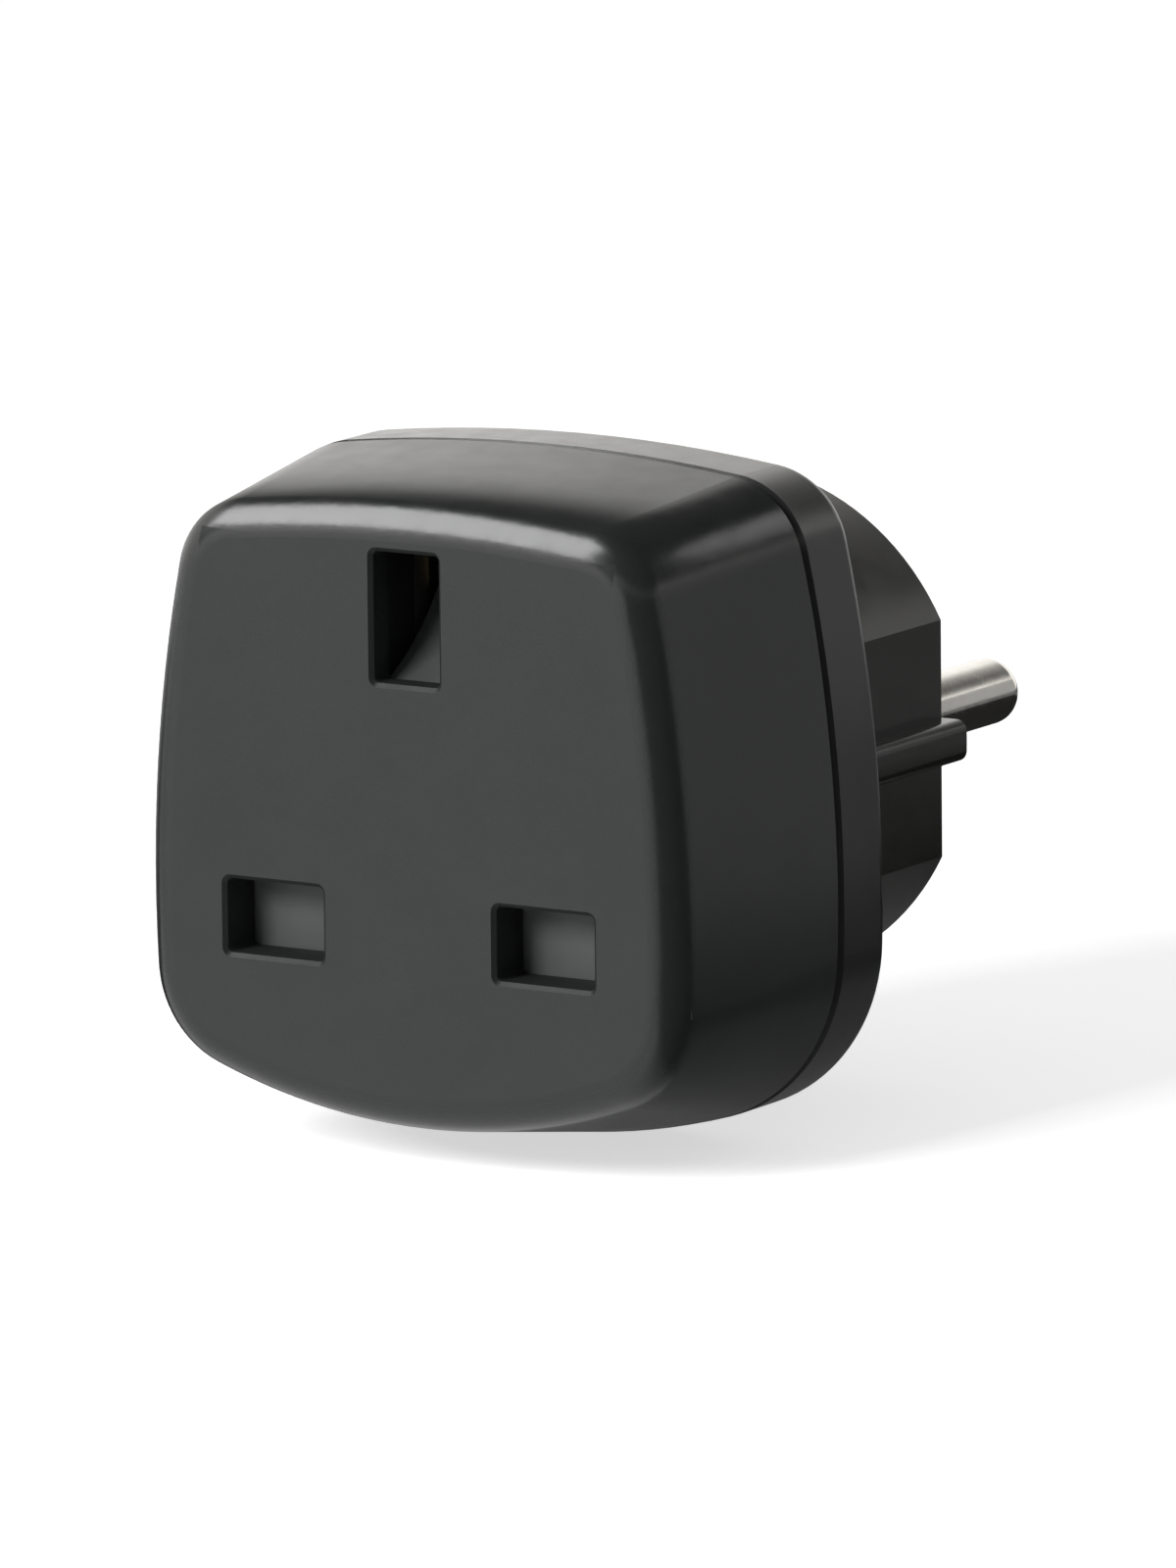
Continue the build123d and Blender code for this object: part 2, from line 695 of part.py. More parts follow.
# Shutter: blades over the lower slots, a stem, and a curved ramp behind the earth slot
shutter_front_depth = face_depth - shutter_front
shutter_back_depth = shutter_front_depth - shutter_thickness
stem_front_depth = face_depth - stem_front
blade_half_span = slot_spacing / 2 + slot_width / 2 + shutter_overlap
blade_half_height = slot_height / 2 + shutter_overlap
blade_bottom = slot_line - blade_half_height
ramp_foot = (stem_front_depth, earth_line - earth_slot_height / 2 - ramp_slot_gap)
ramp_top = (face_depth - ramp_bottom_depth, ramp_top_height)
with BuildPart() as shutter:
    with BuildSketch(at_depth(shutter_back_depth)):
        with Locations((0, slot_line)):
            Rectangle(2 * blade_half_span, 2 * blade_half_height)
    extrude(amount=shutter_thickness)
    with BuildSketch(at_depth(shutter_back_depth)):
        with Locations((0, blade_bottom)):
            Rectangle(
                2 * stem_foot_half_width,
                stem_foot_top - blade_bottom,
                align=(Align.CENTER, Align.MIN),
            )
    extrude(amount=stem_front_depth - shutter_back_depth)
    with BuildSketch(side_view):
        with BuildLine():
            Polyline(
                ramp_top,
                (ramp_top[0], ramp_top[1] - head_lip_height),
                (shutter_back_depth, head_bottom + head_slope_rise),
                (shutter_back_depth, stem_foot_top - stem_foot_overlap),
                (stem_front_depth, stem_foot_top - stem_foot_overlap),
                ramp_foot,
            )
            TangentArc(
                ramp_foot,
                ramp_top,
                tangent=Vector(-1, 0).rotate(Axis.Z, -ramp_first_angle),
            )
        make_face()
    extrude(amount=stem_half_width, both=True)
    with BuildSketch(at_depth(shutter_back_depth)):
        with Locations((0, blade_bottom)):
            Rectangle(
                2 * spring_pocket_half_width,
                spring_pocket_top - blade_bottom,
                align=(Align.CENTER, Align.MIN),
            )
    extrude(amount=stem_front_depth - shutter_back_depth, mode=Mode.SUBTRACT)
save(shutter, "shutter")

# Shutter spring: a closed coil between the seat in the cover and the shutter's pocket
spring_height = spring_pocket_top - seat_top - 2 * spring_wire_radius
spring_depth = (stem_front_depth + shutter_back_depth) / 2
with BuildPart() as shutter_spring:
    with BuildLine():
        coil = Helix(
            pitch=spring_height / spring_turns,
            height=spring_height,
            radius=spring_coil_radius,
            center=(0, -spring_depth, seat_top + spring_wire_radius),
        )
    with BuildSketch(Plane(coil @ 0, z_dir=coil % 0)):
        Circle(spring_wire_radius)
    sweep(is_frenet=True)
save(shutter_spring, "shutter_spring")
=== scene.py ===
import math

import bpy
import numpy as np
from mathutils import Matrix, Vector


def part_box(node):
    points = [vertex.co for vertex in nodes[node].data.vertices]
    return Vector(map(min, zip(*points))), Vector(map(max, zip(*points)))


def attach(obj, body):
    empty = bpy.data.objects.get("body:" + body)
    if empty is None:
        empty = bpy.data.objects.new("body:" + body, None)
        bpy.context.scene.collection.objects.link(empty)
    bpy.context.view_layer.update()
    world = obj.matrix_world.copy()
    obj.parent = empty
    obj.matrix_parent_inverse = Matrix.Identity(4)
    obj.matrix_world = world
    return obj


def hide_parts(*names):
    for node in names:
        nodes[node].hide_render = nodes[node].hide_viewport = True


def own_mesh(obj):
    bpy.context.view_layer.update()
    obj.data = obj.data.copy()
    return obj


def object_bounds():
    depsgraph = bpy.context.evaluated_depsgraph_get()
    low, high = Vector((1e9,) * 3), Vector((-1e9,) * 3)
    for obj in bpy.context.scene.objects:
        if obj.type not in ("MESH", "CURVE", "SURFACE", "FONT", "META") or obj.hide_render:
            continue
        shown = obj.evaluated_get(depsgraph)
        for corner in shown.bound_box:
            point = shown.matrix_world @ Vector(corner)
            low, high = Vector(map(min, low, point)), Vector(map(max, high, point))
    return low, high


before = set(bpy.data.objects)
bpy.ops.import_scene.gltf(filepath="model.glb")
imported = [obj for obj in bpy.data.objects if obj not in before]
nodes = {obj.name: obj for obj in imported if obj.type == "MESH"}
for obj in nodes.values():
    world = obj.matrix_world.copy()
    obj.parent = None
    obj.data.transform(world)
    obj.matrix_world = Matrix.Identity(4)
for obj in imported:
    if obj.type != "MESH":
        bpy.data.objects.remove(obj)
cad_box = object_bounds()
scene = bpy.context.scene

# Camera, where the photograph was taken from: place in metres, aim in degrees, lens in millimetres
CAMERA_PLACE = (0.6422, -1.0553, 0.2211)
CAMERA_AZIMUTH = 31.86
CAMERA_ELEVATION = 10.36
CAMERA_ROLL = -0.56
CAMERA_LENS = 401.8
CAMERA_SENSOR = 36.0
CAMERA_NEAR = 0.05
CAMERA_FAR = 20.0


def add_camera():
    """The camera looks along its azimuth and down by its elevation, turned a little about its axis."""
    turn = math.radians(CAMERA_AZIMUTH)
    dip = math.radians(CAMERA_ELEVATION)
    roll = math.radians(CAMERA_ROLL)
    forward = Vector((-math.sin(turn) * math.cos(dip), math.cos(turn) * math.cos(dip), -math.sin(dip)))
    level = Vector((math.cos(turn), math.sin(turn), 0.0))
    upright = level.cross(forward)
    right = level * math.cos(roll) + upright * math.sin(roll)
    up = upright * math.cos(roll) - level * math.sin(roll)
    data = bpy.data.cameras.new("camera")
    data.lens = CAMERA_LENS
    data.sensor_width = CAMERA_SENSOR
    data.clip_start = CAMERA_NEAR
    data.clip_end = CAMERA_FAR
    camera = bpy.data.objects.new("camera", data)
    scene.collection.objects.link(camera)
    rows = Matrix((right, up, -forward)).transposed().to_4x4()
    rows.translation = Vector(CAMERA_PLACE)
    camera.matrix_world = rows
    scene.camera = camera


# Shader nodes


def shader(material):
    """The material's node tree and a fresh principled shader."""
    material.use_nodes = True
    tree = material.node_tree
    tree.nodes.clear()
    out = tree.nodes.new("ShaderNodeOutputMaterial")
    body = tree.nodes.new("ShaderNodeBsdfPrincipled")
    tree.links.new(body.outputs["BSDF"], out.inputs["Surface"])
    return tree, body


def node_math(tree, operation, first, second=None):
    """One Math node, whose inputs are numbers or sockets."""
    node = tree.nodes.new("ShaderNodeMath")
    node.operation = operation
    for socket, value in zip(node.inputs, (first, second)):
        if isinstance(value, float):
            socket.default_value = value
        elif value is not None:
            tree.links.new(value, socket)
    return node.outputs["Value"]


def split_xyz(tree, output):
    """The three parts of a texture coordinate."""
    place = tree.nodes.new("ShaderNodeTexCoord")
    parts = tree.nodes.new("ShaderNodeSeparateXYZ")
    tree.links.new(place.outputs[output], parts.inputs["Vector"])
    return parts.outputs


def step_up(tree, value, low, high, start=0.0, end=1.0, curve="SMOOTHSTEP"):
    """Goes from start to end as the value goes from low to high."""
    rise = tree.nodes.new("ShaderNodeMapRange")
    rise.interpolation_type = curve
    rise.inputs["From Min"].default_value = low
    rise.inputs["From Max"].default_value = high
    rise.inputs["To Min"].default_value = start
    rise.inputs["To Max"].default_value = end
    tree.links.new(value, rise.inputs["Value"])
    return rise.outputs["Result"]


def blend_value(tree, factor, first, second):
    """A number that goes from the first to the second as the factor goes from 0 to 1."""
    mix = tree.nodes.new("ShaderNodeMix")
    tree.links.new(factor, mix.inputs["Factor"])
    for socket, value in ((mix.inputs["A"], first), (mix.inputs["B"], second)):
        if isinstance(value, float):
            socket.default_value = value
        else:
            tree.links.new(value, socket)
    return mix.outputs["Result"]


def blend_colour(tree, factor, first, second):
    """A colour that goes from the first to the second as the factor goes from 0 to 1."""
    mix = tree.nodes.new("ShaderNodeMix")
    mix.data_type = "RGBA"
    tree.links.new(factor, mix.inputs["Factor"])
    tree.links.new(first, mix.inputs["A"])
    tree.links.new(second, mix.inputs["B"])
    return mix.outputs["Result"]


# Noise: how many cells to a metre and how much detail, and its middle range, where most of it lies
PLASTIC_DRIFT = (90.0, 3.0)
PLASTIC_GLOSS = (420.0, 4.0)
PLASTIC_GRAIN_DETAIL = (6.0, 0.6)
METAL_DRIFT = (240.0, 4.0)
METAL_GLOSS = (900.0, 5.0)
METAL_MARKS_DETAIL = 4.0
GLOSS_MIDDLE = (0.3, 0.7)
TONE_MIDDLE = (0.35, 0.65)


def object_noise(tree, scale, detail, roughness=0.5):
    """Noise on object coordinates, in cells to a metre."""
    place = tree.nodes.new("ShaderNodeTexCoord")
    noise = tree.nodes.new("ShaderNodeTexNoise")
    noise.inputs["Scale"].default_value = scale
    noise.inputs["Detail"].default_value = detail
    noise.inputs["Roughness"].default_value = roughness
    tree.links.new(place.outputs["Object"], noise.inputs["Vector"])
    return noise.outputs["Fac"]


def spread(tree, noise, low, high):
    """A noise carried from its middle range to low and high."""
    return step_up(tree, noise, *GLOSS_MIDDLE, low, high, curve="LINEAR")


def two_tone(tree, noise, dark, light):
    """A colour that drifts between two tones over the noise's middle range."""
    ramp = tree.nodes.new("ShaderNodeValToRGB")
    for element, position, tone in zip(ramp.color_ramp.elements, TONE_MIDDLE, (dark, light)):
        element.position = position
        element.color = (*tone, 1.0)
    tree.links.new(noise, ramp.inputs["Fac"])
    return ramp.outputs["Color"]


def bump(tree, body, noise, height):
    """Raises the surface by the noise, at most by height in metres."""
    node = tree.nodes.new("ShaderNodeBump")
    node.inputs["Distance"].default_value = height
    tree.links.new(noise, node.inputs["Height"])
    tree.links.new(node.outputs["Normal"], body.inputs["Normal"])
    return node


# Socket face: how far a normal's Y part may turn from straight out, and the slots' part, in metres
FACE_FULL = -0.995
FACE_END = -0.94
SLOTS_HALF_WIDTH = 0.017
SLOTS_BOTTOM = -0.013
SLOTS_TOP = 0.0193

# Front of the round plug body, and the width of the border between its tones and the flange's. The plug
# body's darker tones are painted shade
PLUG_START = -0.0213
PLUG_BORDER = 0.0001

# The top's crown, from the seam's side to the face
CROWN_START = -0.0279
CROWN_END = -0.0437
CROWN_POWER = 4.0
CROWN_TIP = 0.37
CROWN_UPRIGHT = (0.3, 1.0)


def flat_front(tree):
    """1 on faces that look straight out of the socket side, 0 on all that turn away from it."""
    return step_up(tree, split_xyz(tree, "Normal")["Y"], FACE_FULL, FACE_END, 1.0, 0.0)


def round_slots(tree):
    """1 in the part of the socket face that holds the three slots, and in the slots themselves."""
    place = split_xyz(tree, "Object")
    across = node_math(tree, "LESS_THAN", node_math(tree, "ABSOLUTE", place["X"]), SLOTS_HALF_WIDTH)
    above = node_math(tree, "GREATER_THAN", place["Z"], SLOTS_BOTTOM)
    below = node_math(tree, "LESS_THAN", place["Z"], SLOTS_TOP)
    return node_math(tree, "MULTIPLY", across, node_math(tree, "MULTIPLY", above, below))


def crowned_normal(tree):
    """The normal, tipped forward over the top as it nears the face, as on a slight crown.

    The tip grows with a power of the way from the seam to the face, and fades as the surface turns
    away from upright.
    """
    place = tree.nodes.new("ShaderNodeTexCoord")
    depth = split_xyz(tree, "Object")["Y"]
    along = step_up(tree, depth, CROWN_START, CROWN_END, curve="LINEAR")
    upright = step_up(tree, split_xyz(tree, "Normal")["Z"], *CROWN_UPRIGHT, curve="LINEAR")
    tip = node_math(tree, "MULTIPLY", node_math(tree, "POWER", along, CROWN_POWER), upright)
    lean = tree.nodes.new("ShaderNodeCombineXYZ")
    tree.links.new(node_math(tree, "MULTIPLY", tip, -CROWN_TIP), lean.inputs["Y"])
    tipped = tree.nodes.new("ShaderNodeVectorMath")
    tipped.operation = "ADD"
    tree.links.new(place.outputs["Normal"], tipped.inputs[0])
    tree.links.new(lean.outputs["Vector"], tipped.inputs[1])
    world = tree.nodes.new("ShaderNodeVectorTransform")
    world.vector_type = "NORMAL"
    world.convert_from = "OBJECT"
    world.convert_to = "WORLD"
    tree.links.new(tipped.outputs["Vector"], world.inputs["Vector"])
    return world.outputs["Vector"]


# Finishes: tones from dark to light, roughness from low to high, and the grain's height in metres
PLASTIC_IOR = 1.5
HOUSING_GRAIN = 9000.0
HOUSING_GRAIN_HEIGHT = 0.000012
SIDE_GRAIN = 0.35
SIDE_ROUGH = (0.2, 0.26)
COVER_TONES = ((0.0155, 0.017, 0.0167), (0.0175, 0.019, 0.0187))
COVER_FACE_ROUGH = (0.42, 0.5)
SHELL_GLOSS = 0.5
SLOT_GLOSS = 0.15
FLANGE_TONES = ((0.0155, 0.0165, 0.0157), (0.0175, 0.0185, 0.0177))
FLANGE_FACE_ROUGH = (0.3, 0.38)
# The plug body: an olive tint of its own, made darker than the flange as painted shade
PLUG_SHADED_TONES = ((0.0085, 0.0087, 0.0068), (0.0100, 0.0102, 0.0083))
FINE_GRAIN = 3000.0
INNER_GRAIN_HEIGHT = 0.00001
INNER_ROUGH = (0.4, 0.5)
INNER_TONES = ((0.03, 0.03, 0.03), (0.04, 0.04, 0.04))
SHUTTER_TONES = ((0.070, 0.075, 0.074), (0.080, 0.085, 0.084))
FINE_MARKS_HEIGHT = 0.000004
COARSE_MARKS_HEIGHT = 0.000006
NICKEL_TONES = ((0.66, 0.64, 0.60), (0.74, 0.72, 0.68))
NICKEL_ROUGH = (0.1, 0.18)
BRASS_TONES = ((0.62, 0.44, 0.18), (0.74, 0.55, 0.25))
BRASS_ROUGH = (0.2, 0.34)
SPRING_TONES = ((0.5, 0.5, 0.5), (0.6, 0.6, 0.6))
SPRING_ROUGH = (0.2, 0.3)
SCREW_TONES = ((0.5, 0.5, 0.48), (0.62, 0.62, 0.6))
SCREW_ROUGH = (0.22, 0.36)


def housing_plastic(name, tones, face_rough, cover=False, shaded_plug_tones=None):
    """The housing's moulding: a matt, spark-eroded socket face, and smoother, glossier sides.

    The cover has dull slots and a crowned top. The round plug body behind the flange has two darker
    tones, if they are given: painted shade, on an olive tint of its own.
    """
    material = bpy.data.materials.new(name)
    tree, body = shader(material)
    drift = object_noise(tree, *PLASTIC_DRIFT)
    colour = two_tone(tree, drift, *tones)
    # The plug body behind the flange is darker than the flange: painted shade
    if shaded_plug_tones:
        depth = split_xyz(tree, "Object")["Y"]
        shaded_plug_part = step_up(tree, depth, PLUG_START, PLUG_START + PLUG_BORDER)
        colour = blend_colour(tree, shaded_plug_part, colour, two_tone(tree, drift, *shaded_plug_tones))
    tree.links.new(colour, body.inputs["Base Color"])
    face = flat_front(tree)
    if cover:
        # The slots' walls and small chamfers are duller than the rest
        in_slots = round_slots(tree)
        dull = node_math(tree, "MULTIPLY", in_slots, node_math(tree, "SUBTRACT", 1.0, face))
        level = blend_value(tree, dull, SHELL_GLOSS, SLOT_GLOSS)
        tree.links.new(level, body.inputs["Specular IOR Level"])
        face = node_math(tree, "MAXIMUM", face, in_slots)
    gloss = object_noise(tree, *PLASTIC_GLOSS)
    matt = spread(tree, gloss, *face_rough)
    satin = spread(tree, gloss, *SIDE_ROUGH)
    tree.links.new(blend_value(tree, face, satin, matt), body.inputs["Roughness"])
    grain = object_noise(tree, HOUSING_GRAIN, *PLASTIC_GRAIN_DETAIL)
    node = bump(tree, body, grain, HOUSING_GRAIN_HEIGHT)
    tree.links.new(blend_value(tree, face, SIDE_GRAIN, 1.0), node.inputs["Strength"])
    if cover:
        tree.links.new(crowned_normal(tree), node.inputs["Normal"])
    body.inputs["IOR"].default_value = PLASTIC_IOR
    return material


def moulded_plastic(name, tones):
    """Plastic of an inner moulding: fine grain, and a slow drift of tone and gloss."""
    material = bpy.data.materials.new(name)
    tree, body = shader(material)
    drift = object_noise(tree, *PLASTIC_DRIFT)
    tree.links.new(two_tone(tree, drift, *tones), body.inputs["Base Color"])
    gloss = object_noise(tree, *PLASTIC_GLOSS)
    tree.links.new(spread(tree, gloss, *INNER_ROUGH), body.inputs["Roughness"])
    grain = object_noise(tree, FINE_GRAIN, *PLASTIC_GRAIN_DETAIL)
    bump(tree, body, grain, INNER_GRAIN_HEIGHT)
    body.inputs["IOR"].default_value = PLASTIC_IOR
    return material


def plated_metal(name, tones, rough, marks_height):
    """Plated or rolled metal: faint stains, and fine marks."""
    material = bpy.data.materials.new(name)
    tree, body = shader(material)
    body.inputs["Metallic"].default_value = 1.0
    stains = object_noise(tree, *METAL_DRIFT)
    tree.links.new(two_tone(tree, stains, *tones), body.inputs["Base Color"])
    gloss = object_noise(tree, *METAL_GLOSS)
    tree.links.new(spread(tree, gloss, *rough), body.inputs["Roughness"])
    marks = object_noise(tree, FINE_GRAIN, METAL_MARKS_DETAIL)
    bump(tree, body, marks, marks_height)
    return material


def dress(node, material):
    """Gives a CAD node its material; its mesh and its shading stay."""
    data = nodes[node].data
    data.materials.clear()
    data.materials.append(material)


cover_black = housing_plastic("housing_plastic", COVER_TONES, COVER_FACE_ROUGH, cover=True)
rear_black = housing_plastic("plug_plastic", FLANGE_TONES, FLANGE_FACE_ROUGH, shaded_plug_tones=PLUG_SHADED_TONES)
inner = moulded_plastic("inner_plastic", INNER_TONES)
shutter_plastic = moulded_plastic("shutter_plastic", SHUTTER_TONES)
nickel = plated_metal("nickel_plate", NICKEL_TONES, NICKEL_ROUGH, FINE_MARKS_HEIGHT)
brass = plated_metal("contact_brass", BRASS_TONES, BRASS_ROUGH, COARSE_MARKS_HEIGHT)
spring_steel = plated_metal("spring_steel", SPRING_TONES, SPRING_ROUGH, FINE_MARKS_HEIGHT)
screw_steel = plated_metal("screw_steel", SCREW_TONES, SCREW_ROUGH, COARSE_MARKS_HEIGHT)

dressing = {
    "front_cover": cover_black,
    "rear_housing": rear_black,
    "inner_frame": inner,
    "pin_retainer": inner,
    "shutter": shutter_plastic,
    "shutter_spring": spring_steel,
    "line_contact": brass,
    "neutral_contact": brass,
    "earth_contact": brass,
    "earth_strap": nickel,
    "earth_pin_socket": nickel,
    "line_pin": nickel,
    "neutral_pin": nickel,
}
for node in nodes:
    dress(node, dressing.get(node, screw_steel))

# Shutter spring, drawn anew. Lengths in metres
SPRING_WIRE = 0.0002
SPRING_TURNS = 6
SPRING_STEPS = 40
WIRE_SIDES = 12


def add_spring():
    """A round coil in the place of the frame's own.

    The wire's middle goes round the coil's axis at a steady climb. Each ring of the wire is a circle
    across that line, drawn from the outward direction and the one square to it and to the wire.
    """
    low, high = (np.array(corner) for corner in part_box("shutter_spring"))
    axis_place = (low + high) / 2
    radius = (high[0] - low[0]) / 2 - SPRING_WIRE
    climb = high[2] - low[2] - 2 * SPRING_WIRE
    count = SPRING_TURNS * SPRING_STEPS + 1
    turn = np.linspace(0.0, 2 * np.pi * SPRING_TURNS, count)
    outward = np.column_stack([np.cos(turn), np.sin(turn), np.zeros(count)])
    line = outward * radius + [axis_place[0], axis_place[1], low[2] + SPRING_WIRE]
    line[:, 2] += np.linspace(0.0, climb, count)
    along = np.gradient(line, axis=0)
    along /= np.linalg.norm(along, axis=1)[:, None]
    sideways = np.cross(along, outward)
    ring = np.arange(WIRE_SIDES) * 2 * np.pi / WIRE_SIDES
    circle = outward[:, None] * np.cos(ring)[:, None] + sideways[:, None] * np.sin(ring)[:, None]
    points = (line[:, None] + circle * SPRING_WIRE).reshape(-1, 3)
    side = np.arange(WIRE_SIDES)
    ring_start = np.arange(count - 1)[:, None] * WIRE_SIDES
    first = ring_start + side
    beside = ring_start + (side + 1) % WIRE_SIDES
    faces = np.stack([first, beside, beside + WIRE_SIDES, first + WIRE_SIDES], axis=2).reshape(-1, 4)
    ends = [side[::-1].tolist(), ((count - 1) * WIRE_SIDES + side).tolist()]
    mesh = bpy.data.meshes.new("coil_spring")
    mesh.from_pydata(points.tolist(), [], faces.tolist() + ends)
    mesh.polygons.foreach_set("use_smooth", [True] * len(mesh.polygons))
    mesh.materials.append(spring_steel)
    spring = bpy.data.objects.new("coil_spring", mesh)
    scene.collection.objects.link(spring)
    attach(spring, "root")
    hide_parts("shutter_spring")
    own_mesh(spring)


add_spring()

# Studio: everything that lights the part, and the pale floor it stands on
WHITE = (1.0, 1.0, 1.0, 1.0)
BLACK = (0.0, 0.0, 0.0, 1.0)

# Sky and backdrop. Heights and ways to the right are parts of a direction one long
SKY_LEVEL = 0.3
CEILING_LEVEL = 0.05
BACKDROP_LEVEL = 1.25
BACKDROP_TOP = 0.34
BACKDROP_LEAN = 0.2
BACKDROP_FADE = 0.28
BACKDROP_TINT = (1.0, 0.985, 0.96, 1.0)
BACKDROP_RIGHT = (0.0, 0.25)
BACKDROP_RIGHT_LEVEL = 0.4
BACKDROP_LOW_PART = (0.32, 0.42)

# Floor. Lengths in metres
FLOOR_SIZE = 4.0
FLOOR_DROP = 0.0002
FLOOR_COLOUR = (0.86, 0.86, 0.86, 1.0)
FLOOR_ROUGH = 0.9
FLOOR_GLOSS = 0.1
FLOOR_GLOW = 0.62


def any_ray(tree, *names):
    """1 for any ray of the named kinds."""
    path = tree.nodes.new("ShaderNodeLightPath")
    total = path.outputs[names[0]]
    for name in names[1:]:
        total = node_math(tree, "MAXIMUM", total, path.outputs[name])
    return total


def plain_colour(tree, colour):
    """A node that gives one colour."""
    node = tree.nodes.new("ShaderNodeRGB")
    node.outputs["Color"].default_value = colour
    return node.outputs["Color"]


def add_world():
    """A soft sky for matt light. The eye sees white, reflections a pale backdrop under a dark ceiling.

    The backdrop's top edge drops from left to right: its height is BACKDROP_TOP less BACKDROP_LEAN
    times the way to the right. Its right end is dimmer, but for the lowest part.
    """
    world = bpy.data.worlds.new("studio")
    scene.world = world
    world.use_nodes = True
    world.cycles.sampling_method = "NONE"
    tree = world.node_tree
    tree.nodes.clear()
    out = tree.nodes.new("ShaderNodeOutputWorld")
    sky = tree.nodes.new("ShaderNodeBackground")
    way = split_xyz(tree, "Generated")
    height = node_math(tree, "ADD", way["Z"], node_math(tree, "MULTIPLY", way["X"], BACKDROP_LEAN))
    top_end = BACKDROP_TOP + BACKDROP_FADE
    backdrop = step_up(tree, height, BACKDROP_TOP, top_end, BACKDROP_LEVEL, CEILING_LEVEL)
    low_part = step_up(tree, way["Z"], *BACKDROP_LOW_PART, 1.0, BACKDROP_RIGHT_LEVEL)
    rightwards = step_up(tree, way["X"], *BACKDROP_RIGHT)
    backdrop = node_math(tree, "MULTIPLY", backdrop, blend_value(tree, rightwards, 1.0, low_part))
    mirrored = any_ray(tree, "Is Glossy Ray", "Is Transmission Ray")
    white = plain_colour(tree, WHITE)
    tint = blend_colour(tree, mirrored, white, plain_colour(tree, BACKDROP_TINT))
    tree.links.new(tint, sky.inputs["Color"])
    lit = blend_value(tree, mirrored, SKY_LEVEL, backdrop)
    seen = blend_value(tree, any_ray(tree, "Is Camera Ray"), lit, 1.0)
    tree.links.new(seen, sky.inputs["Strength"])
    tree.links.new(sky.outputs["Background"], out.inputs["Surface"])


def add_floor():
    """A pale floor just under the part. It glows a little to the eye and in gloss, and keeps the shadow."""
    half = FLOOR_SIZE / 2
    level = float(cad_box[0][2]) - FLOOR_DROP
    mesh = bpy.data.meshes.new("floor")
    corners = [(-half, -half, level), (half, -half, level), (half, half, level), (-half, half, level)]
    mesh.from_pydata(corners, [], [(0, 1, 2, 3)])
    floor = bpy.data.objects.new("floor", mesh)
    scene.collection.objects.link(floor)
    material = bpy.data.materials.new("floor_white")
    tree, body = shader(material)
    body.inputs["Base Color"].default_value = FLOOR_COLOUR
    body.inputs["Roughness"].default_value = FLOOR_ROUGH
    body.inputs["Specular IOR Level"].default_value = FLOOR_GLOSS
    body.inputs["Emission Color"].default_value = WHITE
    glow = blend_value(tree, any_ray(tree, "Is Camera Ray", "Is Glossy Ray"), 0.0, FLOOR_GLOW)
    tree.links.new(glow, body.inputs["Emission Strength"])
    mesh.materials.append(material)


# Gloss sheet, a glowing sheet that paints floor light and the part's shadow into its reflections: its size
# in metres and degrees, and how bright it is at its darkest (painted shadow) and its palest (painted
# reflection of lit floor)
SHEET_REACH = 0.42
SHEET_LIFT = 0.0001
SHEET_STEP = 4.0
RIM_HEIGHT = 0.16
RIM_FOOT = 0.0005
RIM_TURN = (-88.0, 73.0)
SHEET_DARK = 0.02
SHEET_PALE = 0.46

# The sheet's painted shades and lights: ways from a middle in metres, and sines of the direction towards
# the back
UNDER_MIDDLE = (0.004, -0.008)
UNDER_EDGE = (0.03, 0.05)
UNDER_LEVEL = 0.14
BACK_MIDDLE = (0.010, 0.020)
SINE_MIDDLE = (0.0, -0.02)
RIGHT_PALE_WAY = (0.02, 0.15)
RIGHT_SINE = (0.08, 0.3)
DIM_SINE = (0.6, 0.76)
DIM_LEVEL = 0.7
BEHIND_SINE = (0.77, 0.80)
BEHIND_PALE_WAY = (0.106, 0.128)
BEHIND_DIM_WAY = (0.135, 0.165)
BEHIND_LOSS = 0.33
LEFT_LEAN = 0.16
LEFT_BORDER = (0.008, 0.022)
LEFT_BACK = (-0.044, -0.034)
LEFT_FADE_WAY = (0.05, 0.15)
LEFT_FADE_LEVEL = 0.6


def distance_from(tree, place, middle):
    """How far a point of the floor is from a middle, in metres."""
    across = node_math(tree, "SUBTRACT", place["X"], middle[0])
    back = node_math(tree, "SUBTRACT", place["Y"], middle[1])
    across_square = node_math(tree, "MULTIPLY", across, across)
    back_square = node_math(tree, "MULTIPLY", back, back)
    return node_math(tree, "SQRT", node_math(tree, "ADD", across_square, back_square))


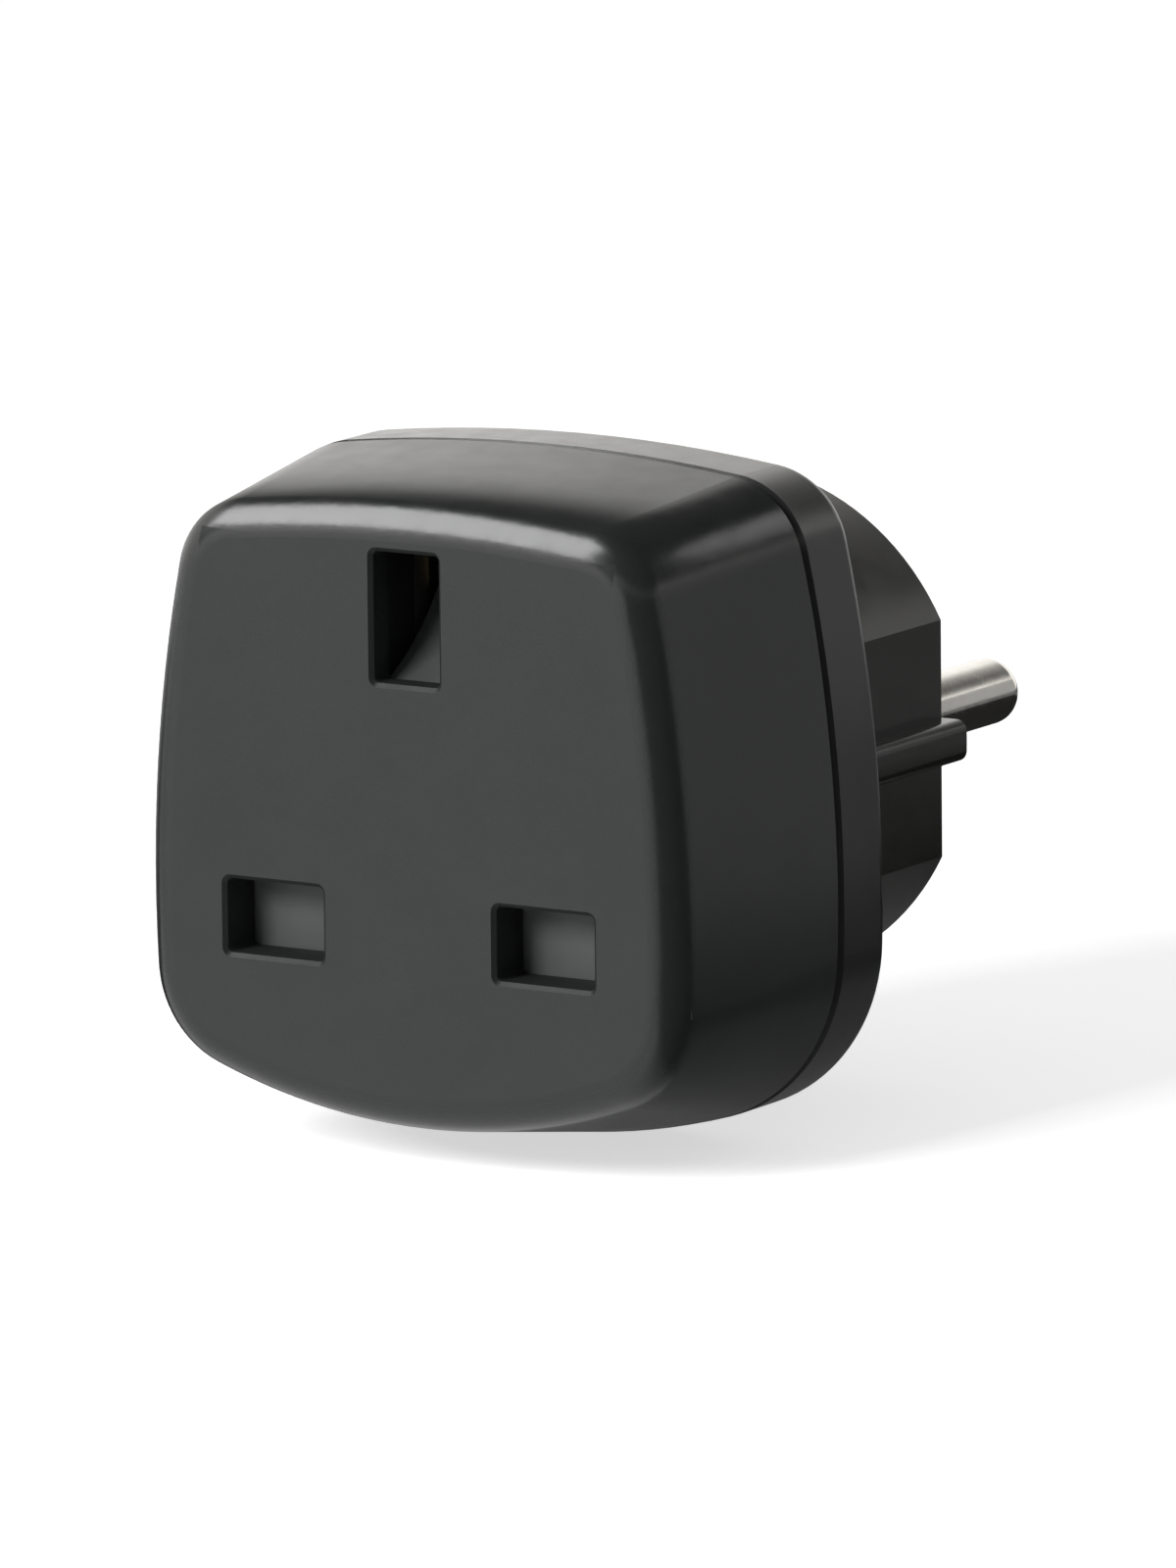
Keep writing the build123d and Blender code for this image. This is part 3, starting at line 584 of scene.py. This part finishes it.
def painted_reflection_shade(tree, low):
    """How bright the sheet is, by the distance and the direction from the part.

    It is grey under the part (painted shade), dark to the right front (painted shade) and straight behind
    (painted shadow), and paler outwards on the right; to the left front it is white. The pale parts are
    painted reflection of lit floor. The rim goes on with the pale of the right side.
    """
    place = split_xyz(tree, "Object")
    back_way = distance_from(tree, place, BACK_MIDDLE)
    under_way = distance_from(tree, place, UNDER_MIDDLE)
    sine_way = distance_from(tree, place, SINE_MIDDLE)
    sine = node_math(tree, "DIVIDE", node_math(tree, "SUBTRACT", place["Y"], SINE_MIDDLE[1]), sine_way)
    # The right side, which goes on up the rim, and the part straight behind, with the part's painted shadow
    # near it
    outwards = step_up(tree, back_way, *RIGHT_PALE_WAY, SHEET_DARK, SHEET_PALE)
    sideways = step_up(tree, sine, *RIGHT_SINE, SHEET_DARK, 1.0)
    dimmer = step_up(tree, sine, *DIM_SINE, 1.0, DIM_LEVEL)
    right = node_math(tree, "MULTIPLY", node_math(tree, "MULTIPLY", outwards, sideways), dimmer)
    shadow_end = step_up(tree, back_way, *BEHIND_PALE_WAY, SHEET_DARK, SHEET_PALE)
    beyond = step_up(tree, back_way, *BEHIND_DIM_WAY, 0.0, BEHIND_LOSS)
    behind = node_math(tree, "SUBTRACT", shadow_end, beyond)
    right = blend_value(tree, step_up(tree, sine, *BEHIND_SINE), right, behind)
    on_rim = node_math(tree, "GREATER_THAN", place["Z"], low + RIM_FOOT)
    right = blend_value(tree, on_rim, right, node_math(tree, "MULTIPLY", sideways, SHEET_PALE))
    # The left front, a painted reflection of lit floor, whose border runs outwards to the right
    across = node_math(tree, "ADD", place["X"], node_math(tree, "MULTIPLY", place["Y"], LEFT_LEAN))
    rightwards = step_up(tree, across, *LEFT_BORDER)
    backwards = step_up(tree, place["Y"], *LEFT_BACK)
    elsewhere = node_math(tree, "MAXIMUM", rightwards, backwards)
    front = step_up(tree, under_way, *LEFT_FADE_WAY, 1.0, LEFT_FADE_LEVEL)
    shade = blend_value(tree, elsewhere, front, right)
    # Painted shade under the part
    under = step_up(tree, under_way, *UNDER_EDGE, UNDER_LEVEL, 0.0)
    return node_math(tree, "MAXIMUM", shade, under)


def sheet_ring(turns, height):
    """Points of a circle round the sheet's middle, at the given turns in degrees and one height."""
    angles = np.radians(turns)
    flat = np.stack([np.cos(angles), np.sin(angles)], axis=1) * SHEET_REACH + np.array(BACK_MIDDLE)
    return np.column_stack([flat, np.full(len(angles), height)])


def add_sheet():
    """A round sheet on the floor, with a rim up its right side, seen in the part's gloss alone.

    It glows, though it is no lamp: painted reflection of lit floor and painted shadow of the part.
    The sheet is a fan from its middle to a circle, and the rim a wall between two equal arcs.
    """
    low = float(cad_box[0][2]) + SHEET_LIFT
    turns = np.arange(0.0, 360.0, SHEET_STEP)
    rim_turns = np.arange(*RIM_TURN, SHEET_STEP)
    points = np.concatenate([
        np.array([[*BACK_MIDDLE, low]]),
        sheet_ring(turns, low),
        sheet_ring(rim_turns, low),
        sheet_ring(rim_turns, low + RIM_HEIGHT),
    ])
    count = len(turns)
    around = np.arange(count)
    fan = np.stack([np.zeros(count, int), 1 + around, 1 + (around + 1) % count], axis=1)
    foot = 1 + count + np.arange(len(rim_turns) - 1)
    head = foot + len(rim_turns)
    wall = np.stack([foot, foot + 1, head + 1, head], axis=1)
    mesh = bpy.data.meshes.new("painted_reflection_sheet")
    mesh.from_pydata(points.tolist(), [], fan.tolist() + wall.tolist())
    sheet = bpy.data.objects.new("painted_reflection_sheet", mesh)
    scene.collection.objects.link(sheet)
    sheet.visible_camera = False
    sheet.visible_diffuse = False
    sheet.visible_shadow = False
    material = bpy.data.materials.new("painted_floor_reflection")
    tree, body = shader(material)
    body.inputs["Base Color"].default_value = BLACK
    body.inputs["Specular IOR Level"].default_value = 0.0
    body.inputs["Emission Color"].default_value = WHITE
    # Its glow is painted reflection of floor light, and its dark parts are painted shadow
    tree.links.new(painted_reflection_shade(tree, low), body.inputs["Emission Strength"])
    mesh.materials.append(material)


# Lamps: all turned to one point of the part. Places and sizes in metres, power in watts
LAMP_AIM = (0.0, -0.03, 0.0)


def add_lamp(name, place, size, power, matt=True, gloss=True):
    """A soft box at a place, turned to face the part, for matt light, for gloss or for both."""
    data = bpy.data.lights.new(name, "AREA")
    data.shape = "RECTANGLE"
    data.size, data.size_y = size
    data.energy = power
    lamp = bpy.data.objects.new(name, data)
    lamp.location = Vector(place)
    lamp.rotation_euler = (Vector(LAMP_AIM) - Vector(place)).to_track_quat("-Z", "Y").to_euler()
    lamp.visible_diffuse = matt
    lamp.visible_glossy = gloss
    scene.collection.objects.link(lamp)


add_camera()
add_world()
add_floor()
add_sheet()
add_lamp("key_front", place=(-0.20, -0.80, 0.42), size=(0.3, 0.3), power=7.0, gloss=False)
add_lamp("edge_gloss", place=(-0.47, -0.50, 0.62), size=(0.6, 0.62), power=11.0, matt=False)
add_lamp("ridge_fill", place=(0.48, 0.62, 0.55), size=(0.2, 0.3), power=0.42)
scene.view_settings.view_transform = "Standard"
